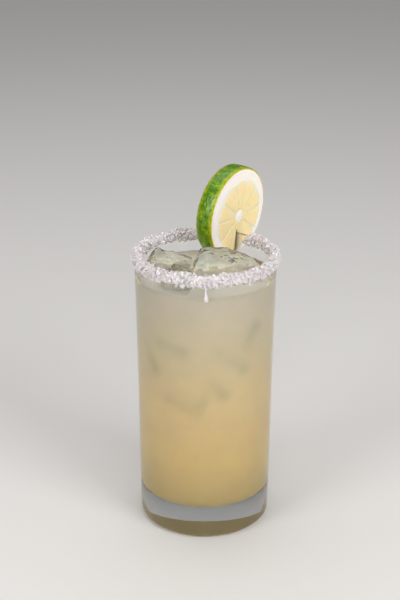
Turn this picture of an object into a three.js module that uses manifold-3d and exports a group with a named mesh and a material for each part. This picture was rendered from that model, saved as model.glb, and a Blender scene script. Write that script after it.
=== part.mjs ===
// A margarita in a tall glass: salted rim, clear ice and a wheel of lime astride the rim.
// Millimetres, +Z up. The origin is the centre of the foot on the table, and the viewer stands at -Y.

import * as THREE from 'three';
import { mergeVertices } from 'three/addons/utils/BufferGeometryUtils.js';
import { ConvexGeometry } from 'three/addons/geometries/ConvexGeometry.js';
import Module from 'manifold-3d';

const wasm = await Module();
wasm.setup();

const GAP = 0.3;
const TURNS = 72;

// The glass: [height, radius] up the outside and up the inside of the wall.
const RIM_Z = 148;
const RIM_ROUND = 1.1;
const FOOT_R = 34.75;
const HEEL_R = 2.6;
const OUTER = [[20, 35.0], [68, 35.3], [97, 35.6], [126, 36.1], [146.9, 36.45]];
const INNER = [[22, 31.9], [68, 32.7], [97, 33.15], [126, 33.8], [146.9, 34.25]];
const FLOOR_Z = 16.5;
const WELL_R = 5.5;

const LEVEL_Z = 136;

// Clear ice: the corners of each piece, before its edges are rounded by ICE_ROUND.
const ICE_ROUND = 1.6;
const ICE_RIGHT = [
  [-1.4, 5.6, 147.4], [10.8, 5.8, 147.3], [8.2, -2.6, 144.6], [-0.6, -4.2, 143.8],
  [30.2, 3.8, 140.2], [27.2, -7.4, 138.2], [-5.0, 2.4, 140.6], [-1.2, -6.4, 138.4],
  [-3.6, 5.2, 121], [-2.0, -13.6, 120], [9, -17, 119], [24.6, -14.4, 120],
  [28.2, 5.6, 122], [11, 8.4, 121],
];
const ICE_LEFT = [
  [-24.9, 8.6, 146.1], [-8.6, 8.2, 141.2], [-29.4, 1.2, 141.4], [-26.4, -4.6, 139.6],
  [-9.4, -2.8, 138.2], [-24.6, 9.2, 121], [-9.2, 9.8, 119], [-28, 0.6, 121],
  [-24.6, -5.4, 119], [-9.8, -3.8, 118],
];
const ICE_FRONT = [
  [-14.4, -11.4, 144.3], [-12.6, -11.2, 144.3], [-20.4, -13.4, 140.6], [-18.6, -20.4, 138.2],
  [-6.8, -13.0, 140.4], [-7.6, -21.6, 137.6], [-13.6, -9.2, 139.2], [-17.4, -11.8, 126],
  [-8.4, -12.0, 126], [-9.2, -20.6, 125], [-17.6, -19.6, 125],
];

// The lime wheel: its centre stands over the wall at LIME_AT degrees round the rim.
const LIME_R = 24.5;
const LIME_BULGE = 0.5;
const LIME_T = 9.6;
const LIME_AT = 67;
const LIME_OVER_RIM = 11.3;
const LIME_SHIFT = -0.8;
const LIME_FACING = -36;
const LIME_LEAN = 4;
const LIME_TURNS = 60;
const SEGMENTS = 10;
const SEGMENT_DEEP = 0.35;
const SEGMENT_IN = 3.4;
const SEGMENT_OUT = 21.2;
const SEGMENT_WEB = 0.55;
const SLIT_W = 3.4;
const SLIT_TOP = -9.2;

// The salt crust over the rim, in stations round it, with the larger crystals standing proud.
const CRUST_TURNS = 96;
const CRYSTALS = 96;
const SALT_CLEAR = 13;
const DRIP_Z = 139.4;

function seeded(seed) {
  let state = seed;
  return (low, high) => {
    state = (state * 1664525 + 1013904223) % 4294967296;
    return low + (high - low) * (state / 4294967296);
  };
}

function solid(geometry) {
  const bare = geometry.clone();
  bare.deleteAttribute('normal');
  bare.deleteAttribute('uv');
  const merged = mergeVertices(bare, 1e-4);
  const index = merged.index.array;
  const triangles = [];
  for (let i = 0; i < index.length; i += 3) {
    const [a, b, c] = index.slice(i, i + 3);
    if (a !== b && b !== c && c !== a) {
      triangles.push(a, b, c);
    }
  }
  return new wasm.Manifold(new wasm.Mesh({
    numProp: 3,
    vertProperties: new Float32Array(merged.attributes.position.array),
    triVerts: new Uint32Array(triangles),
  }));
}

function named(name, body, material) {
  const made = body.getMesh();
  const geometry = new THREE.BufferGeometry();
  geometry.setAttribute('position', new THREE.BufferAttribute(made.vertProperties, 3));
  geometry.setIndex(new THREE.BufferAttribute(made.triVerts, 1));
  geometry.computeVertexNormals();
  const mesh = new THREE.Mesh(geometry, material);
  mesh.name = name;
  return mesh;
}

// A closed profile of [radius, height] points, from the axis back to the axis, turned about Z.
function turned(profile, turns) {
  const points = profile.map(([r, z]) => new THREE.Vector2(r, z));
  return new THREE.LatheGeometry(points, turns).rotateX(Math.PI / 2);
}

function arc(r, z, radius, from, to, steps) {
  const points = [];
  for (let i = 0; i <= steps; i += 1) {
    const angle = THREE.MathUtils.degToRad(from + (to - from) * i / steps);
    points.push([r + radius * Math.cos(angle), z + radius * Math.sin(angle)]);
  }
  return points;
}

function along(stations, height) {
  let i = 1;
  while (i < stations.length - 1 && stations[i][0] < height) {
    i += 1;
  }
  const [z0, r0] = stations[i - 1];
  const [z1, r1] = stations[i];
  return r0 + (r1 - r0) * (height - z0) / (z1 - z0);
}

// The tumbler: flat foot with a rounded heel, thick base, thin wall and a rounded lip.
// A positive grow offsets its inside and lip into a cutter that keeps other pieces clear of it.
function tumbler(grow) {
  const lipR = (OUTER[4][1] + INNER[4][1]) / 2;
  const cornerR = INNER[0][1] - WELL_R;
  return turned([
    [0, -grow],
    ...arc(FOOT_R - HEEL_R, HEEL_R, HEEL_R + grow, -90, 0, 3),
    ...OUTER.slice(0, 4).map(([z, r]) => [r + grow, z]),
    ...arc(lipR, RIM_Z - RIM_ROUND, RIM_ROUND + grow, 0, 180, 6),
    ...INNER.slice(0, 4).map(([z, r]) => [r - grow, z]).reverse(),
    ...arc(cornerR, FLOOR_Z + WELL_R, WELL_R - grow, -15, -90, 3),
    [0, FLOOR_Z + grow],
  ], TURNS);
}

// The drink fills the well up to its level, a hair clear of the wall.
function filling() {
  const cornerR = INNER[0][1] - WELL_R;
  return turned([
    [0, FLOOR_Z + GAP],
    ...arc(cornerR, FLOOR_Z + WELL_R, WELL_R - GAP, -90, 0, 5),
    ...INNER.slice(1, 4).map(([z, r]) => [r - GAP, z]),
    [along(INNER, LEVEL_Z) - GAP, LEVEL_Z],
    [0, LEVEL_Z],
  ], TURNS);
}

// A lump of ice: the hull of its corners, each rounded by a small ball.
function lump(corners, round) {
  const ball = new THREE.IcosahedronGeometry(round, 0);
  ball.deleteAttribute('normal');
  ball.deleteAttribute('uv');
  const at = mergeVertices(ball).attributes.position;
  const points = [];
  for (const [x, y, z] of corners) {
    for (let i = 0; i < at.count; i += 1) {
      points.push(new THREE.Vector3(x + at.getX(i), y + at.getY(i), z + at.getZ(i)));
    }
  }
  return new ConvexGeometry(points);
}

// The wheel's own axes: X level in its face, Y up its face, Z out of the face that looks forward.
function wheelPlace() {
  const facing = THREE.MathUtils.degToRad(LIME_FACING);
  const lean = THREE.MathUtils.degToRad(LIME_LEAN);
  const at = THREE.MathUtils.degToRad(LIME_AT);
  const up = new THREE.Vector3(0, 0, 1);
  const flat = new THREE.Vector3(Math.cos(facing), Math.sin(facing), 0);
  const axisX = new THREE.Vector3(-Math.sin(facing), Math.cos(facing), 0);
  const axisY = up.clone().multiplyScalar(Math.cos(lean)).addScaledVector(flat, Math.sin(lean));
  const axisZ = flat.clone().multiplyScalar(Math.cos(lean)).addScaledVector(up, -Math.sin(lean));
  const wall = (OUTER[4][1] + INNER[4][1]) / 2;
  const centre = new THREE.Vector3(wall * Math.cos(at), wall * Math.sin(at), RIM_Z + LIME_OVER_RIM);
  centre.addScaledVector(axisZ, LIME_SHIFT);
  return new THREE.Matrix4().makeBasis(axisX, axisY, axisZ).setPosition(centre);
}

// The round of the fruit, its rind bulging a little between the two cut faces.
function wheel(grow) {
  const half = LIME_T / 2 + grow;
  const radius = LIME_R + grow;
  return turned([
    [0, -half],
    [radius - 0.5, -half],
    [radius, -half + 0.5],
    [radius + LIME_BULGE * 0.75, -half / 2],
    [radius + LIME_BULGE, 0],
    [radius + LIME_BULGE * 0.75, half / 2],
    [radius, half - 0.5],
    [radius - 0.5, half],
    [0, half],
  ], LIME_TURNS);
}

// One flesh segment, set a little below the membranes between it and its neighbours.
function fleshRecess(index, side) {
  const middle = (index + 0.5) * 2 * Math.PI / SEGMENTS;
  const half = Math.PI / SEGMENTS;
  const points = [new THREE.Vector2(SEGMENT_IN, 0)];
  for (let i = 0; i <= 5; i += 1) {
    const angle = -half + 2 * half * i / 5;
    const inset = (i === 0 || i === 5) ? 1.3 : 0;
    const r = SEGMENT_OUT - inset;
    const web = SEGMENT_WEB * Math.sign(angle) * (Math.abs(angle) / half);
    points.push(new THREE.Vector2(r * Math.cos(angle), r * Math.sin(angle) - web));
  }
  const depth = SEGMENT_DEEP + 1;
  const recess = new THREE.ExtrudeGeometry(new THREE.Shape(points), { depth, bevelEnabled: false });
  recess.rotateZ(middle);
  return recess.translate(0, 0, side > 0 ? LIME_T / 2 - SEGMENT_DEEP : -LIME_T / 2 + SEGMENT_DEEP - depth);
}

function limeWheel(place, wall) {
  let fruit = solid(wheel(0));
  for (let i = 0; i < SEGMENTS; i += 1) {
    fruit = fruit.subtract(solid(fleshRecess(i, 1)));
    fruit = fruit.subtract(solid(fleshRecess(i, -1)));
  }
  const slit = new THREE.BoxGeometry(SLIT_W, 2 * LIME_R, 2 * LIME_T).translate(0, SLIT_TOP - LIME_R, 0);
  fruit = fruit.subtract(solid(slit));
  const placed = fruit.getMesh();
  const geometry = new THREE.BufferGeometry();
  geometry.setAttribute('position', new THREE.BufferAttribute(placed.vertProperties, 3));
  geometry.setIndex(new THREE.BufferAttribute(placed.triVerts, 1));
  geometry.applyMatrix4(place);
  return solid(geometry).subtract(wall);
}

// The crust's section at each station runs down the outside, over the lip and down the inside,
// then back along the glass.
function crust(draw) {
  const positions = [];
  const index = [];
  const outR = OUTER[4][1] + GAP;
  const inR = INNER[4][1] - GAP;
  const wave = (angle, phase) => Math.sin(7 * angle + phase) + 0.7 * Math.sin(13 * angle + 2 * phase);
  const rings = [];
  for (let i = 0; i < CRUST_TURNS; i += 1) {
    const angle = 2 * Math.PI * i / CRUST_TURNS;
    const outDrop = 4.7 + 0.45 * wave(angle, 0.4) + draw(-0.5, 0.5);
    const inDrop = 4.6 + 0.4 * wave(angle, 2.1) + draw(-0.4, 0.4);
    rings.push([
      [outR, RIM_Z - outDrop],
      [outR + draw(0.6, 1.0), RIM_Z - outDrop + 0.5],
      [outR + draw(0.8, 1.5), RIM_Z - outDrop * 0.6],
      [outR + draw(0.9, 1.7), RIM_Z - outDrop * 0.2],
      [outR + draw(0.5, 1.3), RIM_Z + draw(0.5, 1.0)],
      [outR - draw(0.5, 0.9), RIM_Z + draw(1.1, 2.0)],
      [inR + draw(0.3, 0.8), RIM_Z + draw(1.0, 1.8)],
      [inR - draw(0.4, 1.0), RIM_Z + draw(0.3, 0.8)],
      [inR - draw(0.7, 1.3), RIM_Z - inDrop * 0.4],
      [inR - draw(0.6, 1.0), RIM_Z - inDrop + 0.5],
      [inR - 0.2, RIM_Z - inDrop],
      [inR, RIM_Z + GAP],
      [outR, RIM_Z + GAP],
    ].map(([r, z]) => [r * Math.cos(angle), r * Math.sin(angle), z]));
  }
  const n = rings[0].length;
  rings.forEach((ring) => ring.forEach((point) => positions.push(...point)));
  for (let i = 0; i < CRUST_TURNS; i += 1) {
    const next = (i + 1) % CRUST_TURNS;
    for (let j = 0; j < n; j += 1) {
      const k = (j + 1) % n;
      index.push(i * n + j, next * n + j, next * n + k);
      index.push(i * n + j, next * n + k, i * n + k);
    }
  }
  const geometry = new THREE.BufferGeometry();
  geometry.setAttribute('position', new THREE.Float32BufferAttribute(positions, 3));
  geometry.setIndex(index);
  return geometry;
}

// A salt crystal: a small turned block, set in the crust outside, on top or inside the lip.
function crystal(number, draw) {
  const angle = 2 * Math.PI * (number + draw(-0.3, 0.3)) / CRYSTALS;
  const size = draw(0.95, 1.5);
  const spots = [
    [OUTER[4][1] + 1.25, RIM_Z - draw(1.0, 4.0)],
    [OUTER[4][1] + 0.9, RIM_Z + draw(0.0, 0.9)],
    [OUTER[4][1] - 1.0, RIM_Z + 1.45],
    [INNER[4][1] - 1.15, RIM_Z - draw(0.2, 3.4)],
  ];
  const [r, z] = spots[(number * 3) % 4];
  const block = new THREE.BoxGeometry(size, size * draw(0.75, 1.1), size * draw(0.75, 1.1));
  block.rotateX(draw(0, 3));
  block.rotateY(draw(0, 3));
  block.rotateZ(draw(0, 3));
  return block.translate(r * Math.cos(angle), r * Math.sin(angle), z);
}

// The run of wet salt down the front of the glass, ending in a drop.
function drip() {
  const r = along(OUTER, DRIP_Z) + GAP + 0.5;
  const drop = new THREE.SphereGeometry(1, 10, 8).scale(1.0, 0.75, 1.7).translate(-0.1, -r, DRIP_Z);
  const run = new THREE.CylinderGeometry(0.5, 0.55, 5.4, 8).rotateX(Math.PI / 2).scale(1, 0.8, 1);
  run.translate(-0.1, -r - 0.05, DRIP_Z + 3.2);
  return solid(drop).add(solid(run));
}

function saltRim(place, wall) {
  const draw = seeded(11);
  let salt = solid(crust(draw));
  for (let i = 0; i < CRYSTALS; i += 1) {
    salt = salt.add(solid(crystal(i, draw)));
  }
  salt = salt.add(drip());
  const rubbed = new THREE.BoxGeometry(16, 3 * LIME_R, SALT_CLEAR).translate(0, -LIME_OVER_RIM, 0);
  return salt.subtract(solid(rubbed.applyMatrix4(place))).subtract(wall);
}

const cutter = solid(tumbler(GAP));
const place = wheelPlace();
const glassMaterial = new THREE.MeshStandardMaterial({ color: 0xe6ecea, roughness: 0.03, metalness: 0 });
const drinkMaterial = new THREE.MeshStandardMaterial({ color: 0xd8cb9c, roughness: 0.2, metalness: 0 });
const saltMaterial = new THREE.MeshStandardMaterial({ color: 0xf0eae8, roughness: 0.6, metalness: 0 });
const limeMaterial = new THREE.MeshStandardMaterial({ color: 0x9fbf4a, roughness: 0.4, metalness: 0 });
const iceMaterial = new THREE.MeshStandardMaterial({ color: 0xe0ece6, roughness: 0.05, metalness: 0 });

let drink = solid(filling());
for (const corners of [ICE_RIGHT, ICE_LEFT, ICE_FRONT]) {
  drink = drink.subtract(solid(lump(corners, ICE_ROUND + GAP)));
}
drink = drink.subtract(solid(wheel(GAP).applyMatrix4(place)));

const margarita = new THREE.Group();
margarita.name = 'margarita';
margarita.add(named('glass', solid(tumbler(0)), glassMaterial));
margarita.add(named('drink', drink, drinkMaterial));
margarita.add(named('ice_right', solid(lump(ICE_RIGHT, ICE_ROUND)), iceMaterial));
margarita.add(named('ice_left', solid(lump(ICE_LEFT, ICE_ROUND)), iceMaterial.clone()));
margarita.add(named('ice_front', solid(lump(ICE_FRONT, ICE_ROUND)), iceMaterial.clone()));
margarita.add(named('salt_rim', saltRim(place, cutter), saltMaterial));
margarita.add(named('lime_wheel', limeWheel(place, cutter), limeMaterial));

export default margarita;
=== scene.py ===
import math
import random

import bpy
import numpy as np
from mathutils import Matrix, Vector, noise
from mathutils.bvhtree import BVHTree


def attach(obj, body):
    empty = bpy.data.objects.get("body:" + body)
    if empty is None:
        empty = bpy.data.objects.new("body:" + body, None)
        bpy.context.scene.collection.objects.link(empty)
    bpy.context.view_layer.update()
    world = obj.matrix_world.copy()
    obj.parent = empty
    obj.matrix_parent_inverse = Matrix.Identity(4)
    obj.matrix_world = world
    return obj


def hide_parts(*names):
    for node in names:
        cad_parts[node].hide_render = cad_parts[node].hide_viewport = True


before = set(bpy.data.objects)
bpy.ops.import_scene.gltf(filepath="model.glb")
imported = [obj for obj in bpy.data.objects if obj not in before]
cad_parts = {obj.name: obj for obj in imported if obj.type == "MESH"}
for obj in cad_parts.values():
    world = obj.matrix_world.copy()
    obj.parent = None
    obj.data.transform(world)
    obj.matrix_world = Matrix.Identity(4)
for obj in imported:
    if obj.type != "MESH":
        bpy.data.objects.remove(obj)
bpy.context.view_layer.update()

# The view: a camera on the drinker's side, a little above the rim, so that the mouth of the glass
# shows as a flat oval with the contents inside it.
MM = 0.001
FRAME_LONG_SIDE_PX = 600
scene = bpy.context.scene
camera_data = bpy.data.cameras.new("camera")
camera_data.lens = 72
camera_data.sensor_width = 36
camera_data.shift_x = -7.8 / FRAME_LONG_SIDE_PX
camera = bpy.data.objects.new("camera", camera_data)
camera.location = (0, -573.7 * MM, 356.8 * MM)
camera.rotation_euler = (math.radians(90 - 22.27), math.radians(-0.3), 0)
scene.collection.objects.link(camera)
scene.camera = camera
scene.view_settings.view_transform = "Standard"
scene.cycles.max_bounces = 24
scene.cycles.transmission_bounces = 20
scene.cycles.glossy_bounces = 8
scene.cycles.transparent_max_bounces = 12


# The studio: a plain pale floor, a soft box on each side of the glass that draws its long
# upright highlights, one in front, a wide one overhead and a dim surround.
def principled(name, **values):
    material = bpy.data.materials.new(name)
    material.use_nodes = True
    shader = material.node_tree.nodes["Principled BSDF"]
    for socket, value in values.items():
        shader.inputs[socket.replace("_", " ")].default_value = value
    return material, material.node_tree.nodes, material.node_tree.links, shader


bpy.ops.object.select_all(action="DESELECT")
bpy.ops.mesh.primitive_plane_add(size=9, location=(0, 0, -0.3 * MM))
floor = bpy.context.object
floor.name = "floor"
floor_finish = principled("floor_finish", Base_Color=(0.74, 0.72, 0.70, 1), Roughness=0.6)
floor.data.materials.append(floor_finish[0])

surround = bpy.data.worlds.new("surround")
surround.use_nodes = True
nodes, links = surround.node_tree.nodes, surround.node_tree.links
direction = nodes.new("ShaderNodeTexCoord")
upward = nodes.new("ShaderNodeSeparateXYZ")
links.new(direction.outputs["Generated"], upward.inputs["Vector"])
sky = nodes.new("ShaderNodeValToRGB")
sky.color_ramp.elements[0].position = 0.25
sky.color_ramp.elements[0].color = (0.13, 0.13, 0.13, 1)
sky.color_ramp.elements[1].position = 0.95
sky.color_ramp.elements[1].color = (0.5, 0.5, 0.5, 1)
links.new(upward.outputs["Z"], sky.inputs["Fac"])
links.new(sky.outputs["Color"], nodes["Background"].inputs["Color"])
scene.world = surround


def soft_box(name, place, wide, high, watts):
    lamp = bpy.data.lights.new(name, "AREA")
    lamp.shape = "RECTANGLE"
    lamp.size = wide
    lamp.size_y = high
    lamp.energy = watts
    stand = bpy.data.objects.new(name, lamp)
    stand.location = place
    aim = Vector((0, 0, 0.09)) - Vector(place)
    stand.rotation_euler = aim.to_track_quat("-Z", "Y").to_euler()
    stand.visible_camera = False
    scene.collection.objects.link(stand)


soft_box("soft_box_left", (-0.8, -0.7, 0.6), 0.5, 0.8, 5.6)
soft_box("soft_box_right", (0.8, -0.8, 0.65), 0.6, 0.8, 9.2)
soft_box("soft_box_front", (0.1, -1.2, 1.0), 0.9, 0.6, 4.6)
soft_box("soft_box_over", (-0.1, 0.35, 1.2), 0.9, 0.7, 3.2)


# The glass: a pressed and fire-polished tumbler of clear soda glass, turned about its axis, with
# a heavy base, a rounded heel, a slightly spreading wall and a rounded lip.
RIM_Z = 148.0
LIP_ROUND = 1.1
LIP_OUT = 36.45
LIP_IN = 34.25
OUTSIDE = [(20, 35.0), (68, 35.3), (97, 35.6), (126, 36.1), (RIM_Z - LIP_ROUND, LIP_OUT)]
INSIDE = [(22, 31.9), (68, 32.7), (97, 33.15), (126, 33.8), (RIM_Z - LIP_ROUND, LIP_IN)]
WELL_FLOOR = 16.5
WELL_CORNER = 5.5
FOOT_R = 34.75
HEEL_R = 2.6


def arc(r, z, radius, start, end, steps):
    turn = [math.radians(start + (end - start) * i / steps) for i in range(steps + 1)]
    return [(r + radius * math.cos(a), z + radius * math.sin(a)) for a in turn]


def radius_at(stations, z):
    return float(np.interp(z, [s[0] for s in stations], [s[1] for s in stations]))


def spun(name, profile, steps):
    """Extrudes one point along a profile of (radius, height) in mm, then spins it about Z."""
    bpy.ops.object.select_all(action="DESELECT")
    bpy.ops.mesh.primitive_plane_add(size=MM)
    piece = bpy.context.object
    piece.name = name
    piece.data.name = name
    bpy.ops.object.mode_set(mode="EDIT")
    bpy.ops.mesh.select_all(action="SELECT")
    bpy.ops.mesh.merge(type="CENTER")
    r0, z0 = profile[0]
    bpy.ops.transform.translate(value=(r0 * MM, 0, z0 * MM))
    for r, z in profile[1:]:
        step = ((r - r0) * MM, 0, (z - z0) * MM)
        bpy.ops.mesh.extrude_region_move(TRANSFORM_OT_translate={"value": step})
        r0, z0 = r, z
    bpy.ops.mesh.select_all(action="SELECT")
    bpy.ops.mesh.spin(steps=steps, angle=2 * math.pi, center=(0, 0, 0), axis=(0, 0, 1))
    bpy.ops.mesh.select_all(action="SELECT")
    bpy.ops.mesh.remove_doubles(threshold=1e-6)
    bpy.ops.mesh.normals_make_consistent(inside=False)
    bpy.ops.object.mode_set(mode="OBJECT")
    bpy.ops.object.shade_smooth()
    return piece


lip_mid = (LIP_OUT + LIP_IN) / 2
well_r = INSIDE[0][1] - WELL_CORNER
UNDERSIDE = [(0, 1.3), (12, 1.2), (20, 0.9), (26, 0.35), (28.5, 0.06)]
glass_profile = UNDERSIDE + [(FOOT_R - HEEL_R - 1.5, 0)]
glass_profile += arc(FOOT_R - HEEL_R, HEEL_R, HEEL_R, -90, 0, 8)
glass_profile += [(r, z) for z, r in OUTSIDE[:-1]]
glass_profile += arc(lip_mid, RIM_Z - LIP_ROUND, LIP_ROUND, 0, 180, 12)
glass_profile += [(r, z) for z, r in INSIDE[:-1]][::-1]
glass_profile += arc(well_r, WELL_FLOOR + WELL_CORNER, WELL_CORNER, -10, -90, 10)
glass_profile += [(well_r * 0.5, WELL_FLOOR), (0, WELL_FLOOR)]
glass = spun("glass_tumbler", glass_profile, 128)
glass_finish, nodes, links, shader = principled(
    "clear_glass", Base_Color=(0.975, 0.985, 0.975, 1), Transmission_Weight=1.0, IOR=1.5)
handling = nodes.new("ShaderNodeTexNoise")
handling.inputs["Scale"].default_value = 35
handling.inputs["Detail"].default_value = 3
where = nodes.new("ShaderNodeTexCoord")
links.new(where.outputs["Object"], handling.inputs["Vector"])


def spread(nodes, links, value, low, high, to_low, to_high):
    """Maps a node value between low and high on to another range."""
    step = nodes.new("ShaderNodeMapRange")
    for socket, number in (("From Min", low), ("From Max", high), ("To Min", to_low), ("To Max", to_high)):
        step.inputs[socket].default_value = number
    links.new(value, step.inputs["Value"])
    return step.outputs["Result"]


links.new(spread(nodes, links, handling.outputs["Fac"], 0.45, 0.8, 0.0, 0.05), shader.inputs["Roughness"])
glass.data.materials.append(glass_finish)
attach(glass, "root")
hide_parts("glass")

# The salt: coarse damp crystals that cling to the wetted lip, outside, on top and inside, over a
# thin crust of finer salt. It is rubbed off where the lime wheel is pushed on to the rim.
WHEEL_AT = math.radians(67)
WHEEL_FACING = math.radians(-36)
WHEEL_LEAN = math.radians(4)
WHEEL_OVER_RIM = 11.3
WHEEL_SHIFT = -0.8
upright = Vector((0, 0, 1))
level_out = Vector((math.cos(WHEEL_FACING), math.sin(WHEEL_FACING), 0))
wheel_x = Vector((-math.sin(WHEEL_FACING), math.cos(WHEEL_FACING), 0))
wheel_y = upright * math.cos(WHEEL_LEAN) + level_out * math.sin(WHEEL_LEAN)
wheel_z = level_out * math.cos(WHEEL_LEAN) - upright * math.sin(WHEEL_LEAN)
wheel_centre = Vector((
    lip_mid * math.cos(WHEEL_AT), lip_mid * math.sin(WHEEL_AT), RIM_Z + WHEEL_OVER_RIM))
wheel_centre += wheel_z * WHEEL_SHIFT
wheel_place = Matrix((wheel_x, wheel_y, wheel_z)).transposed().to_4x4()
wheel_place.translation = wheel_centre * MM
SALT_CLEAR_BACK = -5.8
SALT_CLEAR_FRONT = 11.0
SALT_CLEAR_WIDE = 14.0
LIP_ARC = LIP_ROUND * math.pi / 2


def over_lip(s):
    """The (radius, height) and outward normal s mm from the top of the lip, outside if positive."""
    if abs(s) <= LIP_ARC:
        turn = s / LIP_ROUND
        out, up = math.sin(turn), math.cos(turn)
        return (lip_mid + LIP_ROUND * out, RIM_Z - LIP_ROUND + LIP_ROUND * up), (out, up)
    z = RIM_Z - LIP_ROUND - (abs(s) - LIP_ARC)
    wall = OUTSIDE if s > 0 else INSIDE
    return (radius_at(wall, z), z), (math.copysign(1, s), 0)


def crust_reach(angle, side):
    """How far the salt reaches down from the top of the lip, unevenly round the rim."""
    if side > 0:
        wave = 4.7 + 0.45 * (math.sin(7 * angle + 0.4) + 0.7 * math.sin(13 * angle + 0.8))
    else:
        wave = 4.6 + 0.4 * (math.sin(7 * angle + 2.1) + 0.7 * math.sin(13 * angle + 4.2))
    return wave + LIP_ARC - LIP_ROUND


def box_on_wheel(wide, high, thick, centre):
    """A box in the lime wheel's own directions, for cutting room for the wheel or in it."""
    bpy.ops.object.select_all(action="DESELECT")
    bpy.ops.mesh.primitive_cube_add(size=1)
    box = bpy.context.object
    box.data.transform(Matrix.Diagonal((wide * MM, high * MM, thick * MM, 1)))
    box.data.transform(Matrix.Translation(Vector(centre) * MM))
    box.data.transform(wheel_place)
    return box


def cut_away(piece, cutter):
    cut = piece.modifiers.new("cut", "BOOLEAN")
    cut.operation = "DIFFERENCE"
    cut.solver = "MANIFOLD"
    cut.object = cutter
    bpy.context.view_layer.objects.active = piece
    bpy.ops.object.modifier_apply(modifier=cut.name)


CRUST_STATIONS = 26
CRUST_REACH = 5.4
CRUST_THICK = 0.5
CRUST_FADE = 5.6
CRUST_FIT = 0.03
crust_profile = []
for i in range(CRUST_STATIONS + 1):
    s = CRUST_REACH * (1 - 2 * i / CRUST_STATIONS)
    (r, z), (nr, nz) = over_lip(s)
    thick = CRUST_THICK * math.sqrt(max(0.02, 1 - (s / CRUST_FADE) ** 4))
    crust_profile.append((r + nr * thick, z + nz * thick))
for i in range(CRUST_STATIONS + 1):
    s = CRUST_REACH * (2 * i / CRUST_STATIONS - 1)
    (r, z), (nr, nz) = over_lip(s)
    crust_profile.append((r + nr * CRUST_FIT, z + nz * CRUST_FIT))
crust_profile.append(crust_profile[0])
crust = spun("salt_crust", crust_profile, 420)
for v in crust.data.vertices:
    at = v.co / MM
    angle = math.atan2(at.y, at.x)
    r = math.hypot(at.x, at.y)
    side = 1 if r > lip_mid else -1
    edge = RIM_Z - (crust_reach(angle, side) - 0.7)
    rough = noise.noise(at * 0.9) * 0.4 + noise.noise(at * 2.1 + Vector((9, 1, 4))) * 0.25
    wall_r = radius_at(OUTSIDE, at.z) if side > 0 else radius_at(INSIDE, at.z)
    from_lip = Vector((r - lip_mid, at.z - RIM_Z + LIP_ROUND))
    on_lip = at.z > RIM_Z - LIP_ROUND
    away = from_lip.length - LIP_ROUND if on_lip else abs(r - wall_r)
    if away > 0.2:
        push = from_lip.normalized() * rough if on_lip else Vector((side * rough, 0))
        r += push.x
        at.z += push.y
    if at.z < edge:
        r = wall_r + side * 0.02 + (r - wall_r) * 0.05
        at.z = edge + (at.z - edge) * 0.1 + noise.noise(at * 0.8) * 0.5
    v.co = Vector((r * math.cos(angle), r * math.sin(angle), at.z)) * MM
clear_mid = (SALT_CLEAR_FRONT + SALT_CLEAR_BACK) / 2
wheel_room = box_on_wheel(2 * SALT_CLEAR_WIDE, 60, SALT_CLEAR_FRONT - SALT_CLEAR_BACK, (0, 0, clear_mid))
cut_away(crust, wheel_room)
bpy.data.objects.remove(wheel_room)

salt_draw = random.Random(7)
grain_verts = []
grain_faces = []
# Each layer of grains: how many, how far they stand off the lip, and their smallest and largest size.
GRAIN_LAYERS = ((2700, 0.28, 0.30, 0.62), (2000, 0.8, 0.36, 0.85), (1000, 1.25, 0.40, 0.95))
CORNERS = [(x, y, z) for z in (-1, 1) for x, y in ((-1, -1), (1, -1), (1, 1), (-1, 1))]
SIDES = [(0, 3, 2, 1), (4, 5, 6, 7), (0, 1, 5, 4), (1, 2, 6, 5), (2, 3, 7, 6), (3, 0, 4, 7)]


def random_turn(draw):
    axis = Vector((draw.gauss(0, 1), draw.gauss(0, 1), draw.gauss(0, 1))).normalized()
    return Matrix.Rotation(draw.uniform(0, 2 * math.pi), 3, axis)


def under_wheel(point, margin):
    off = point - wheel_centre
    between = SALT_CLEAR_BACK + margin < off.dot(wheel_z) < SALT_CLEAR_FRONT - margin
    return between and abs(off.dot(wheel_x)) < SALT_CLEAR_WIDE


for count, stand, small, large in GRAIN_LAYERS:
    for _ in range(count):
        angle = salt_draw.uniform(0, 2 * math.pi)
        s = salt_draw.uniform(-1, 1)
        reach = crust_reach(angle, 1 if s > 0 else -1) + salt_draw.gauss(0, 0.45)
        s *= reach * (1.0 if stand < 0.5 else 0.9 if stand < 1.2 else 0.78)
        (r, z), (nr, nz) = over_lip(s)
        size = small + (large - small) * salt_draw.random() ** 1.6
        lift = max(stand * salt_draw.uniform(0.6, 1.2), size * 0.55)
        r += nr * lift
        at = Vector((r * math.cos(angle), r * math.sin(angle), z + nz * lift))
        clumped = noise.noise(at * 0.28) + salt_draw.uniform(-0.25, 0.25) > -0.22
        if under_wheel(at, salt_draw.uniform(0, 0.9)) or (stand > 0.5 and not clumped):
            continue
        turn = random_turn(salt_draw)
        stretch = (1, salt_draw.uniform(0.7, 1.25), salt_draw.uniform(0.55, 1.1))
        first = len(grain_verts)
        for corner in CORNERS:
            chipped = [c * e * size * salt_draw.uniform(0.68, 1.05) for c, e in zip(corner, stretch)]
            grain_verts.append((at + turn @ Vector(chipped)) * MM)
        grain_faces += [[first + k for k in side] for side in SIDES]
grain_mesh = bpy.data.meshes.new("salt_crystals")
grain_mesh.from_pydata(grain_verts, [], grain_faces)
grain_mesh.update()
crystals = bpy.data.objects.new("salt_crystals", grain_mesh)
scene.collection.objects.link(crystals)

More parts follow.
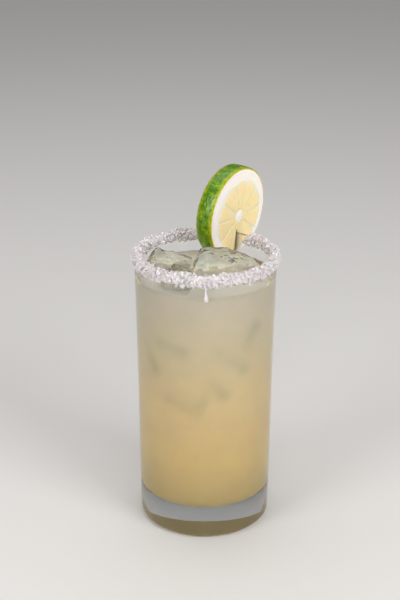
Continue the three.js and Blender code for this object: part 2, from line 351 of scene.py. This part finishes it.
# The run of wet salt down the front of the glass hangs from the crust and ends in a drop.
DROP_Z = 137.3
RUN = [(0, -1.75), (0.55, -1.6), (1.0, -1.1), (1.22, -0.3), (1.12, 0.5), (0.8, 1.3), (0.5, 2.1),
       (0.4, 3.4), (0.4, 5.2), (0.46, 6.7), (0.7, 7.9), (0, 8.3)]
drip = spun("salt_drip", [(r, DROP_Z + z) for r, z in RUN], 20)
drip_r = radius_at(OUTSIDE, DROP_Z) + 0.45
for v in drip.data.vertices:
    sway = noise.noise(Vector((0, 0, v.co.z / MM * 0.4))) * 0.35
    v.co = Vector((v.co.x + (0.2 - sway) * MM, v.co.y * 0.7 - drip_r * MM, v.co.z))


def ramp(nodes, links, fac, stops):
    """A colour ramp with its stops given as (position, colour)."""
    band = nodes.new("ShaderNodeValToRGB")
    while len(band.color_ramp.elements) < len(stops):
        band.color_ramp.elements.new(0.5)
    for element, (position, colour) in zip(band.color_ramp.elements, stops):
        element.position = position
        element.color = (*colour, 1)
    links.new(fac, band.inputs["Fac"])
    return band.outputs["Color"]


salt_finish, nodes, links, shader = principled(
    "damp_salt", Subsurface_Weight=0.25, Subsurface_Scale=0.0006, IOR=1.5)
where = nodes.new("ShaderNodeTexCoord")
grain = nodes.new("ShaderNodeTexNoise")
grain.inputs["Scale"].default_value = 900
grain.inputs["Detail"].default_value = 2
links.new(where.outputs["Object"], grain.inputs["Vector"])
white = ramp(nodes, links, grain.outputs["Fac"], [
    (0.3, (0.56, 0.51, 0.52)), (0.65, (0.80, 0.755, 0.755))])
links.new(white, shader.inputs["Base Color"])
links.new(spread(nodes, links, grain.outputs["Fac"], 0.35, 0.65, 0.4, 0.12), shader.inputs["Roughness"])
for piece in (crust, crystals, drip):
    piece.data.materials.clear()
    piece.data.materials.append(salt_finish)
    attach(piece, "root")
    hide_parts("salt_rim")


# The ice that stands out of the drink: clear machine ice, its edges and faces melted round, so
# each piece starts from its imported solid, and is softened and melted into shallow scallops.
SCALLOPS_PER_MM = 0.19
SCALLOP_DEPTH = 1.7


def melted(node, name, voxel, dimple):
    bpy.ops.object.select_all(action="DESELECT")
    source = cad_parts[node]
    lump = source.copy()
    lump.data = source.data.copy()
    lump.name = name
    lump.data.name = name
    lump.parent = None
    lump.matrix_world = Matrix.Identity(4)
    lump.data.transform(source.matrix_world)
    scene.collection.objects.link(lump)
    bpy.context.view_layer.objects.active = lump
    lump.select_set(True)
    lump.data.materials.clear()
    bpy.ops.object.mode_set(mode="EDIT")
    bpy.ops.mesh.select_all(action="SELECT")
    bpy.ops.mesh.remove_doubles(threshold=1e-6)
    bpy.ops.object.mode_set(mode="OBJECT")
    remesh = lump.modifiers.new("voxels", "REMESH")
    remesh.mode = "VOXEL"
    remesh.voxel_size = voxel * MM
    bpy.ops.object.modifier_apply(modifier=remesh.name)
    soften = lump.modifiers.new("melt", "SMOOTH")
    soften.factor = 0.5
    soften.iterations = 3
    bpy.ops.object.modifier_apply(modifier=soften.name)
    for v in lump.data.vertices:
        p = v.co / MM
        hollow = noise.voronoi(p * SCALLOPS_PER_MM)[0][0]
        swell = noise.noise(p * 0.13) * dimple + (hollow ** 2 - 0.2) * SCALLOP_DEPTH
        v.co += v.normal * swell * MM
    bpy.ops.object.shade_smooth()
    return lump


ice_finish, nodes, links, shader = principled(
    "clear_ice", Base_Color=(0.95, 0.985, 0.98, 1), Transmission_Weight=0.97, IOR=1.31)
where = nodes.new("ShaderNodeTexCoord")
ripple = nodes.new("ShaderNodeTexNoise")
ripple.inputs["Scale"].default_value = 230
ripple.inputs["Detail"].default_value = 2
links.new(where.outputs["Object"], ripple.inputs["Vector"])
dent = nodes.new("ShaderNodeBump")
dent.inputs["Strength"].default_value = 0.25
dent.inputs["Distance"].default_value = 0.0006
links.new(ripple.outputs["Fac"], dent.inputs["Height"])
links.new(dent.outputs["Normal"], shader.inputs["Normal"])
links.new(spread(nodes, links, ripple.outputs["Fac"], 0.4, 0.7, 0.0, 0.12), shader.inputs["Roughness"])
ice_pieces = []
for node in ("ice_right", "ice_left", "ice_front"):
    lump = melted(node, node + "_melted", 0.6, 0.5)
    lump.data.materials.append(ice_finish)
    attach(lump, "root")
    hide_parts(node)
    ice_pieces.append(lump)

# The ice under the surface: cubes that sank and lean on the wall, each with one edge close to
# the glass, or a whole face where the lean is small. They lie wholly inside the cloudy drink.
LEVEL_Z = 136.0
INTO_WALL = 0.12
SUNKEN_TILT = 1.8
SUNKEN_ROUNDING = 1.6
# The two ends of each cube's edge at the glass, the cube's side, and its lean in degrees.
SUNKEN = [
    ((-27.1, -19.3, 102.8), (-24.5, -22.1, 92.5), 14, 45),
    ((-21.4, -25.7, 110.2), (-9.8, -31.9, 106.5), 15, 50),
    ((8.6, -32.2, 106.6), (18.9, -27.2, 95.4), 17, 40),
    ((2.8, -32.9, 91.6), (9.7, -31.4, 82.4), 14, 45),
    ((-16.8, -28.2, 76.8), (-3.5, -32.5, 72.3), 17, 8),
    ((21.7, -25.5, 111.8), (25.0, -22.5, 118.6), 13, 45),
    ((-6.0, 31.0, 104.0), (8.0, 31.5, 96.0), 18, 45),
    ((26.0, 19.0, 88.0), (29.0, 10.0, 78.0), 17, 40),
    ((-29.0, 12.0, 84.0), (-22.0, 22.0, 92.0), 18, 45),
]
sunken_parts = []
for start, end, side, lean in SUNKEN:
    corner_r = radius_at(INSIDE, end[2])
    corner = Vector((end[0], end[1], 0)).normalized() * corner_r + Vector((0, 0, end[2]))
    far = Vector((start[0], start[1], 0)).normalized() * (corner_r - SUNKEN_TILT)
    far.z = start[2]
    along = (corner - far).normalized()
    inward = Vector((-corner.x, -corner.y, 0)).normalized()
    inward = (inward - along * inward.dot(along)).normalized()
    across = along.cross(inward)
    into = inward * math.cos(math.radians(lean)) - across * math.sin(math.radians(lean))
    beside = inward * math.sin(math.radians(lean)) + across * math.cos(math.radians(lean))
    bpy.ops.object.select_all(action="DESELECT")
    bpy.ops.mesh.primitive_cube_add(size=side * MM)
    cube = bpy.context.object
    cube.data.transform(Matrix((along, into, beside)).transposed().to_4x4())
    cube.data.transform(Matrix.Translation((corner + (into + beside - along) * side / 2) * MM))
    rounding = cube.modifiers.new("melt", "BEVEL")
    rounding.width = SUNKEN_ROUNDING * MM
    rounding.segments = 4
    bpy.ops.object.modifier_apply(modifier=rounding.name)
    sunken_parts.append(cube)
bpy.ops.object.select_all(action="DESELECT")
for cube in sunken_parts:
    cube.select_set(True)
bpy.context.view_layer.objects.active = sunken_parts[0]
bpy.ops.object.join()
sunken = bpy.context.object
sunken.name = "ice_sunken"
sunken.data.name = "ice_sunken"
bpy.ops.object.mode_set(mode="EDIT")
bpy.ops.mesh.select_all(action="SELECT")
bpy.ops.mesh.normals_make_consistent(inside=False)
bpy.ops.object.mode_set(mode="OBJECT")
bpy.ops.object.shade_smooth()
sunken.data.materials.clear()
sunken.data.materials.append(ice_finish)
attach(sunken, "root")

# The drink: cloudy lime juice, spirit and syrup, poured to its level. It wets the wall, so it
# reaches a hair into the glass and climbs it in a small meniscus, and it closes round the ice.
# Where ice leans on the glass the drink's colour is darkened and turned greyer and greener: painted shade
# of the ice.
ICE_OVERLAP = 0.1
DRINK_ROW = 1.5
level_r = radius_at(INSIDE, LEVEL_Z + 1)
drink_profile = [(0, WELL_FLOOR - INTO_WALL), (well_r * 0.5, WELL_FLOOR - INTO_WALL)]
drink_profile += arc(well_r, WELL_FLOOR + WELL_CORNER, WELL_CORNER + INTO_WALL, -90, 0, 10)
drink_profile += [(radius_at(INSIDE, z) + INTO_WALL, z) for z in np.arange(25, LEVEL_Z, DRINK_ROW)]
MENISCUS = [(INTO_WALL, 1.0), (-0.15, 0.8), (-0.6, 0.4), (-1.3, 0.12), (-2.4, 0)]
drink_profile += [(level_r + r, LEVEL_Z + z) for r, z in MENISCUS]
drink_profile += [(24, LEVEL_Z), (14, LEVEL_Z), (0, LEVEL_Z)]
drink = spun("margarita_drink", drink_profile, 192)
for lump in ice_pieces:
    pocket = lump.copy()
    pocket.data = lump.data.copy()
    scene.collection.objects.link(pocket)
    for v in pocket.data.vertices:
        v.co -= v.normal * ICE_OVERLAP * MM
    cut_away(drink, pocket)
    bpy.data.objects.remove(pocket)

ICE_SHADE_REACH = 2.8
WALL_CLOUD = 1.0
ice_trees = []
for piece in [sunken] + ice_pieces:
    corners = [v.co for v in piece.data.vertices]
    ice_trees.append(BVHTree.FromPolygons(corners, [p.vertices[:] for p in piece.data.polygons]))
# Painted shade on the drink near the wall, strongest close to the sunken and floating ice.
painted_ice_shade = drink.data.attributes.new("painted_ice_shade", "FLOAT", "POINT")
for v in drink.data.vertices:
    near = min(tree.find_nearest(v.co)[3] for tree in ice_trees) / MM
    patchy = 0.75 + 0.5 * noise.noise(v.co / MM * 0.12)
    at_wall = math.hypot(v.co.x, v.co.y) > (radius_at(INSIDE, v.co.z / MM) - WALL_CLOUD) * MM
    painted_ice_shade.data[v.index].value = patchy * math.exp(-((near / ICE_SHADE_REACH) ** 2)) if at_wall else 0


def drink_look(name, roughness, gloss):
    finish, nodes, links, shader = principled(
        name, Roughness=roughness, Specular_IOR_Level=gloss, IOR=1.35,
        Subsurface_Weight=1.0, Subsurface_Scale=0.004, Subsurface_Radius=(1.0, 0.85, 0.5))
    where = nodes.new("ShaderNodeTexCoord")
    height = nodes.new("ShaderNodeSeparateXYZ")
    links.new(where.outputs["Object"], height.inputs["Vector"])
    depth = spread(nodes, links, height.outputs["Z"], WELL_FLOOR * MM, LEVEL_Z * MM, 0, 1)
    # The drink's colour by height: darker and more yellow towards the bottom, greyer towards the top.
    by_height = ramp(nodes, links, depth, [
        (0.0, (0.66, 0.52, 0.23)), (0.22, (0.86, 0.67, 0.32)), (0.5, (0.90, 0.73, 0.42)),
        (0.75, (0.82, 0.72, 0.50)), (1.0, (0.78, 0.72, 0.60))])
    cloud = nodes.new("ShaderNodeTexNoise")
    cloud.inputs["Scale"].default_value = 55
    cloud.inputs["Detail"].default_value = 3
    links.new(where.outputs["Object"], cloud.inputs["Vector"])
    pulp = ramp(nodes, links, cloud.outputs["Fac"], [
        (0.3, (0.94, 0.94, 0.93)), (0.7, (1.0, 1.0, 1.0))])
    stirred = nodes.new("ShaderNodeMix")
    stirred.data_type = "RGBA"
    stirred.blend_type = "MULTIPLY"
    stirred.inputs["Factor"].default_value = 1.0
    links.new(by_height, stirred.inputs["A"])
    links.new(pulp, stirred.inputs["B"])
    # The drink's colour is multiplied by a grey-green where ice lies close to the wall: painted shade of
    # the ice.
    ice_shade_amount = nodes.new("ShaderNodeAttribute")
    ice_shade_amount.attribute_name = "painted_ice_shade"
    ice_shaded = nodes.new("ShaderNodeMix")
    ice_shaded.data_type = "RGBA"
    ice_shaded.blend_type = "MULTIPLY"
    ice_shaded.inputs["B"].default_value = (0.78, 0.82, 0.80, 1)
    links.new(ice_shade_amount.outputs["Fac"], ice_shaded.inputs["Factor"])
    links.new(stirred.outputs["Result"], ice_shaded.inputs["A"])
    links.new(ice_shaded.outputs["Result"], shader.inputs["Base Color"])
    return finish


drink.data.materials.clear()
drink.data.materials.append(drink_look("cloudy_lime", 0.6, 0.0))
drink.data.materials.append(drink_look("cloudy_lime_surface", 0.06, 0.5))
for face in drink.data.polygons:
    on_top = face.center.z > (LEVEL_Z - 0.05) * MM and face.normal.z > 0.3
    face.material_index = 1 if on_top else 0
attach(drink, "root")
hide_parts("drink")

# The lime wheel: a round cut across a lime, about 50 mm wide, with waxy pitted rind, white pith,
# thin membranes and ten juicy segments. It is slit from below and pushed on to the rim.
WHEEL_R = 24.5
WHEEL_BULGE = 0.5
WHEEL_HALF = 4.8
PITH_IN = 21.9
PIT_DEPTH = 0.26


def keep_wheel_place(piece, core=(0, 0)):
    """Stores each point's place on the wheel, in mm from its core, for the finish to follow."""
    spot = piece.data.attributes.new("wheel", "FLOAT_VECTOR", "POINT")
    flat = np.empty(len(piece.data.vertices) * 3, np.float32)
    piece.data.vertices.foreach_get("co", flat)
    spot.data.foreach_set("vector", flat / MM - np.tile([*core, 0], len(piece.data.vertices)))


RIND_STATIONS = 24
rind_edge = [(PITH_IN, 0.0), (22.6, 0.0), (23.4, 0.0), (WHEEL_R - 0.45, 0.02), (WHEEL_R - 0.15, 0.14),
             (WHEEL_R + 0.02, 0.4)]
rind_profile = [(r, z - WHEEL_HALF) for r, z in rind_edge]
for i in range(RIND_STATIONS + 1):
    z = (WHEEL_HALF - 0.7) * (2 * i / RIND_STATIONS - 1)
    rind_profile.append((WHEEL_R + WHEEL_BULGE * (1 - (z / WHEEL_HALF) ** 2), z))
rind_profile += [(r, WHEEL_HALF - z) for r, z in rind_edge[::-1]]
rind_profile.append(rind_profile[0])
rind = spun("lime_rind", rind_profile, 360)
keep_wheel_place(rind)
pits = rind.data.attributes.new("pit", "FLOAT", "POINT")
for v in rind.data.vertices:
    at = v.co / MM
    r = math.hypot(at.x, at.y)
    if r > WHEEL_R - 0.3:
        near = noise.voronoi(at * 0.8)[0][0]
        pit = math.exp(-((near / 0.34) ** 2))
        swell = noise.noise(at * 0.16) * 0.28 + noise.noise(at * 0.5) * 0.1
        v.co += Vector((at.x, at.y, 0)).normalized() * (swell - PIT_DEPTH * pit) * MM
        pits.data[v.index].value = pit

FLESH_OFF_CENTRE = (1.7, -2.0)
WEB_FLAT_R = 17.6
web_edge = [(0, 0.1), (1.9, 0.1), (2.6, 0.25), (3.4, 0.35), (WEB_FLAT_R, 0.35), (19.4, 0.1), (20.6, 0.02)]
web_profile = [(r, z - WHEEL_HALF) for r, z in web_edge] + [(PITH_IN + 0.2, -WHEEL_HALF + 0.02)]
web_profile += [(r, -z) for r, z in web_profile[::-1]]
web = spun("lime_membrane", web_profile, 120)
for v in web.data.vertices:
    r = math.hypot(v.co.x, v.co.y) / MM
    share = min(1, max(0, (PITH_IN - r) / (PITH_IN - WEB_FLAT_R)))
    v.co += Vector((*FLESH_OFF_CENTRE, 0)) * share * MM
keep_wheel_place(web)

SEGMENTS = 10
SEGMENT_IN = 3.0
SEGMENT_OUT = 20.0
SEGMENT_CROWN = 0.30
SAC_RELIEF = 0.20
MEMBRANE_HALF = 0.17
lime_draw = random.Random(23)
cuts = [2 * math.pi * (i + lime_draw.uniform(-0.14, 0.14)) / SEGMENTS for i in range(SEGMENTS)]
flesh_parts = []
for i in range(SEGMENTS):
    low = cuts[i]
    high = cuts[(i + 1) % SEGMENTS] + (2 * math.pi if i == SEGMENTS - 1 else 0)
    middle, half = (low + high) / 2, (high - low) / 2
    bpy.ops.object.select_all(action="DESELECT")
    bpy.ops.mesh.primitive_grid_add(x_subdivisions=40, y_subdivisions=22, size=2)
    wedge = bpy.context.object
    bpy.ops.object.mode_set(mode="EDIT")
    bpy.ops.mesh.select_all(action="SELECT")
    bpy.ops.mesh.extrude_region_move(TRANSFORM_OT_translate={"value": (0, 0, -1)})
    bpy.ops.object.mode_set(mode="OBJECT")
    shift = lime_draw.uniform(0, 50)
    for v in wedge.data.vertices:
        s, t = (v.co.x + 1) / 2, v.co.y
        front = v.co.z > -0.5
        corner = 1 - 0.075 * abs(t) ** 3.2
        inner = SEGMENT_IN + 0.9 * abs(t) ** 2
        r = inner + (SEGMENT_OUT * corner - inner) * s
        angle = middle + t * half
        membrane = MEMBRANE_HALF * t
        x = FLESH_OFF_CENTRE[0] + r * math.cos(angle) + membrane * math.sin(middle)
        y = FLESH_OFF_CENTRE[1] + r * math.sin(angle) - membrane * math.cos(middle)
        rim = min(1 - abs(t), (1 - s) * 2.2, s * 2.2)
        crown = SEGMENT_CROWN * (1 - math.exp(-max(rim, 0) * 9))
        cell = noise.voronoi(Vector((r * 0.33, (angle - middle) * 9.0 + shift, 0 if front else 40)))[0]
        juice = SAC_RELIEF * (cell[1] - cell[0]) * min(1, max(rim, 0) * 6)
        z = WHEEL_HALF - SEGMENT_CROWN + crown + juice
        v.co = Vector((x, y, z if front else -z)) * MM
    bpy.ops.object.mode_set(mode="EDIT")
    bpy.ops.mesh.select_all(action="SELECT")
    bpy.ops.mesh.normals_make_consistent(inside=False)
    bpy.ops.object.mode_set(mode="OBJECT")
    flesh_parts.append(wedge)
bpy.ops.object.select_all(action="DESELECT")
for wedge in flesh_parts:
    wedge.select_set(True)
bpy.context.view_layer.objects.active = flesh_parts[0]
bpy.ops.object.join()
flesh = bpy.context.object
flesh.name = "lime_flesh"
flesh.data.name = "lime_flesh"
keep_wheel_place(flesh, FLESH_OFF_CENTRE)

SLIT_W = 1.2
SLIT_TOP = -9.2
SLIT_LONG = 40
slit = box_on_wheel(SLIT_W, SLIT_LONG, 20, (0, SLIT_TOP - SLIT_LONG / 2, 0))
WALL_ROOM = 0.2
wall_profile = [(LIP_OUT + WALL_ROOM, 125), (LIP_OUT + WALL_ROOM, RIM_Z + WALL_ROOM)]
wall_profile += [(LIP_IN - WALL_ROOM, RIM_Z + WALL_ROOM), (LIP_IN - 0.55 - WALL_ROOM, 125), wall_profile[0]]
wall_room = spun("wall_room", wall_profile, 128)
for piece in (rind, web, flesh):
    piece.data.transform(wheel_place)
    cut_away(piece, slit)
    cut_away(piece, wall_room)
    piece.data.materials.clear()
bpy.data.objects.remove(slit)
bpy.data.objects.remove(wall_room)


def wheel_polar(nodes, links):
    """Nodes for the distance from the core and the angle round it, from the stored place."""
    place = nodes.new("ShaderNodeAttribute")
    place.attribute_name = "wheel"
    split = nodes.new("ShaderNodeSeparateXYZ")
    links.new(place.outputs["Vector"], split.inputs["Vector"])
    flat = nodes.new("ShaderNodeCombineXYZ")
    links.new(split.outputs["X"], flat.inputs["X"])
    links.new(split.outputs["Y"], flat.inputs["Y"])
    length = nodes.new("ShaderNodeVectorMath")
    length.operation = "LENGTH"
    links.new(flat.outputs["Vector"], length.inputs[0])
    angle = nodes.new("ShaderNodeMath")
    angle.operation = "ARCTAN2"
    links.new(split.outputs["Y"], angle.inputs[0])
    links.new(split.outputs["X"], angle.inputs[1])
    return place, length.outputs["Value"], angle.outputs["Value"]


rind_finish, nodes, links, shader = principled(
    "lime_rind", Roughness=0.22, Specular_IOR_Level=0.4, Subsurface_Weight=0.1, Subsurface_Scale=0.0008)
place, from_core, _ = wheel_polar(nodes, links)
blotch = nodes.new("ShaderNodeTexNoise")
blotch.inputs["Scale"].default_value = 0.35
blotch.inputs["Detail"].default_value = 4
links.new(place.outputs["Vector"], blotch.inputs["Vector"])
waxy = ramp(nodes, links, blotch.outputs["Fac"], [
    (0.3, (0.04, 0.145, 0.001)), (0.5, (0.12, 0.265, 0.001)), (0.75, (0.31, 0.46, 0.006))])
across_rind = nodes.new("ShaderNodeSeparateXYZ")
links.new(place.outputs["Vector"], across_rind.inputs["Vector"])
to_cut = nodes.new("ShaderNodeMath")
to_cut.operation = "ABSOLUTE"
links.new(across_rind.outputs["Z"], to_cut.inputs[0])
yellowed = nodes.new("ShaderNodeMix")
yellowed.data_type = "RGBA"
yellowed.inputs["B"].default_value = (0.42, 0.44, 0.008, 1)
links.new(spread(nodes, links, to_cut.outputs["Value"], 2.6, 4.7, 0, 1), yellowed.inputs["Factor"])
links.new(waxy, yellowed.inputs["A"])
# The rind is painted darker in its pits: painted shade in the hollows of the pitted skin.
pit_mask = nodes.new("ShaderNodeAttribute")
pit_mask.attribute_name = "pit"
pit_shaded = nodes.new("ShaderNodeMix")
pit_shaded.data_type = "RGBA"
pit_shaded.inputs["B"].default_value = (0.015, 0.07, 0.001, 1)
links.new(spread(nodes, links, pit_mask.outputs["Fac"], 0, 1, 0, 0.75), pit_shaded.inputs["Factor"])
links.new(yellowed.outputs["Result"], pit_shaded.inputs["A"])
green = pit_shaded.outputs["Result"]
pith = ramp(nodes, links, spread(nodes, links, from_core, 21, 25.5, 0, 1), [
    (0.0, (1.0, 0.85, 0.78)), (0.2, (1.0, 0.86, 0.82)), (0.52, (1.0, 0.86, 0.80)),
    (0.66, (0.58, 0.63, 0.15))])
skin = nodes.new("ShaderNodeMix")
skin.data_type = "RGBA"
links.new(spread(nodes, links, from_core, 23.85, 24.2, 0, 1), skin.inputs["Factor"])
links.new(pith, skin.inputs["A"])
links.new(green, skin.inputs["B"])
links.new(skin.outputs["Result"], shader.inputs["Base Color"])
rind.data.materials.append(rind_finish)

web_finish, nodes, links, shader = principled(
    "lime_membrane", Roughness=0.4, Subsurface_Weight=0.4, Subsurface_Scale=0.003)
place, _, _ = wheel_polar(nodes, links)
fibre = nodes.new("ShaderNodeTexNoise")
fibre.inputs["Scale"].default_value = 1.4
fibre.inputs["Detail"].default_value = 3
links.new(place.outputs["Vector"], fibre.inputs["Vector"])
web_white = ramp(nodes, links, fibre.outputs["Fac"], [
    (0.3, (1.0, 0.87, 0.76)), (0.7, (1.0, 0.90, 0.86))])
links.new(web_white, shader.inputs["Base Color"])
web.data.materials.append(web_finish)

flesh_finish, nodes, links, shader = principled(
    "lime_flesh", Roughness=0.18, Subsurface_Weight=0.5, Subsurface_Scale=0.003, IOR=1.38)
place, from_core, round_core = wheel_polar(nodes, links)
sacs = nodes.new("ShaderNodeCombineXYZ")
for value, stretch, axis in ((from_core, 0.3, "X"), (round_core, 11, "Y")):
    scaled = nodes.new("ShaderNodeMath")
    scaled.operation = "MULTIPLY"
    scaled.inputs[1].default_value = stretch
    links.new(value, scaled.inputs[0])
    links.new(scaled.outputs["Value"], sacs.inputs[axis])
cells = nodes.new("ShaderNodeTexVoronoi")
cells.feature = "DISTANCE_TO_EDGE"
cells.inputs["Scale"].default_value = 1.0
links.new(sacs.outputs["Vector"], cells.inputs["Vector"])
pulp = ramp(nodes, links, cells.outputs["Distance"], [
    (0.0, (1.0, 0.80, 0.48)), (0.12, (0.99, 0.73, 0.36)), (0.5, (0.98, 0.68, 0.29))])
paling = nodes.new("ShaderNodeMix")
paling.data_type = "RGBA"
paling.inputs["B"].default_value = (1.0, 0.85, 0.67, 1)
links.new(spread(nodes, links, from_core, 16, 20.8, 0, 0.9), paling.inputs["Factor"])
links.new(pulp, paling.inputs["A"])
links.new(paling.outputs["Result"], shader.inputs["Base Color"])
bead = nodes.new("ShaderNodeBump")
bead.inputs["Strength"].default_value = 0.35
bead.inputs["Distance"].default_value = 0.0004
links.new(cells.outputs["Distance"], bead.inputs["Height"])
links.new(bead.outputs["Normal"], shader.inputs["Normal"])
flesh.data.materials.append(flesh_finish)

for piece in (rind, web, flesh):
    bpy.ops.object.select_all(action="DESELECT")
    piece.select_set(True)
    bpy.context.view_layer.objects.active = piece
    bpy.ops.object.shade_smooth_by_angle(angle=math.radians(50))
    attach(piece, "root")
    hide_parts("lime_wheel")
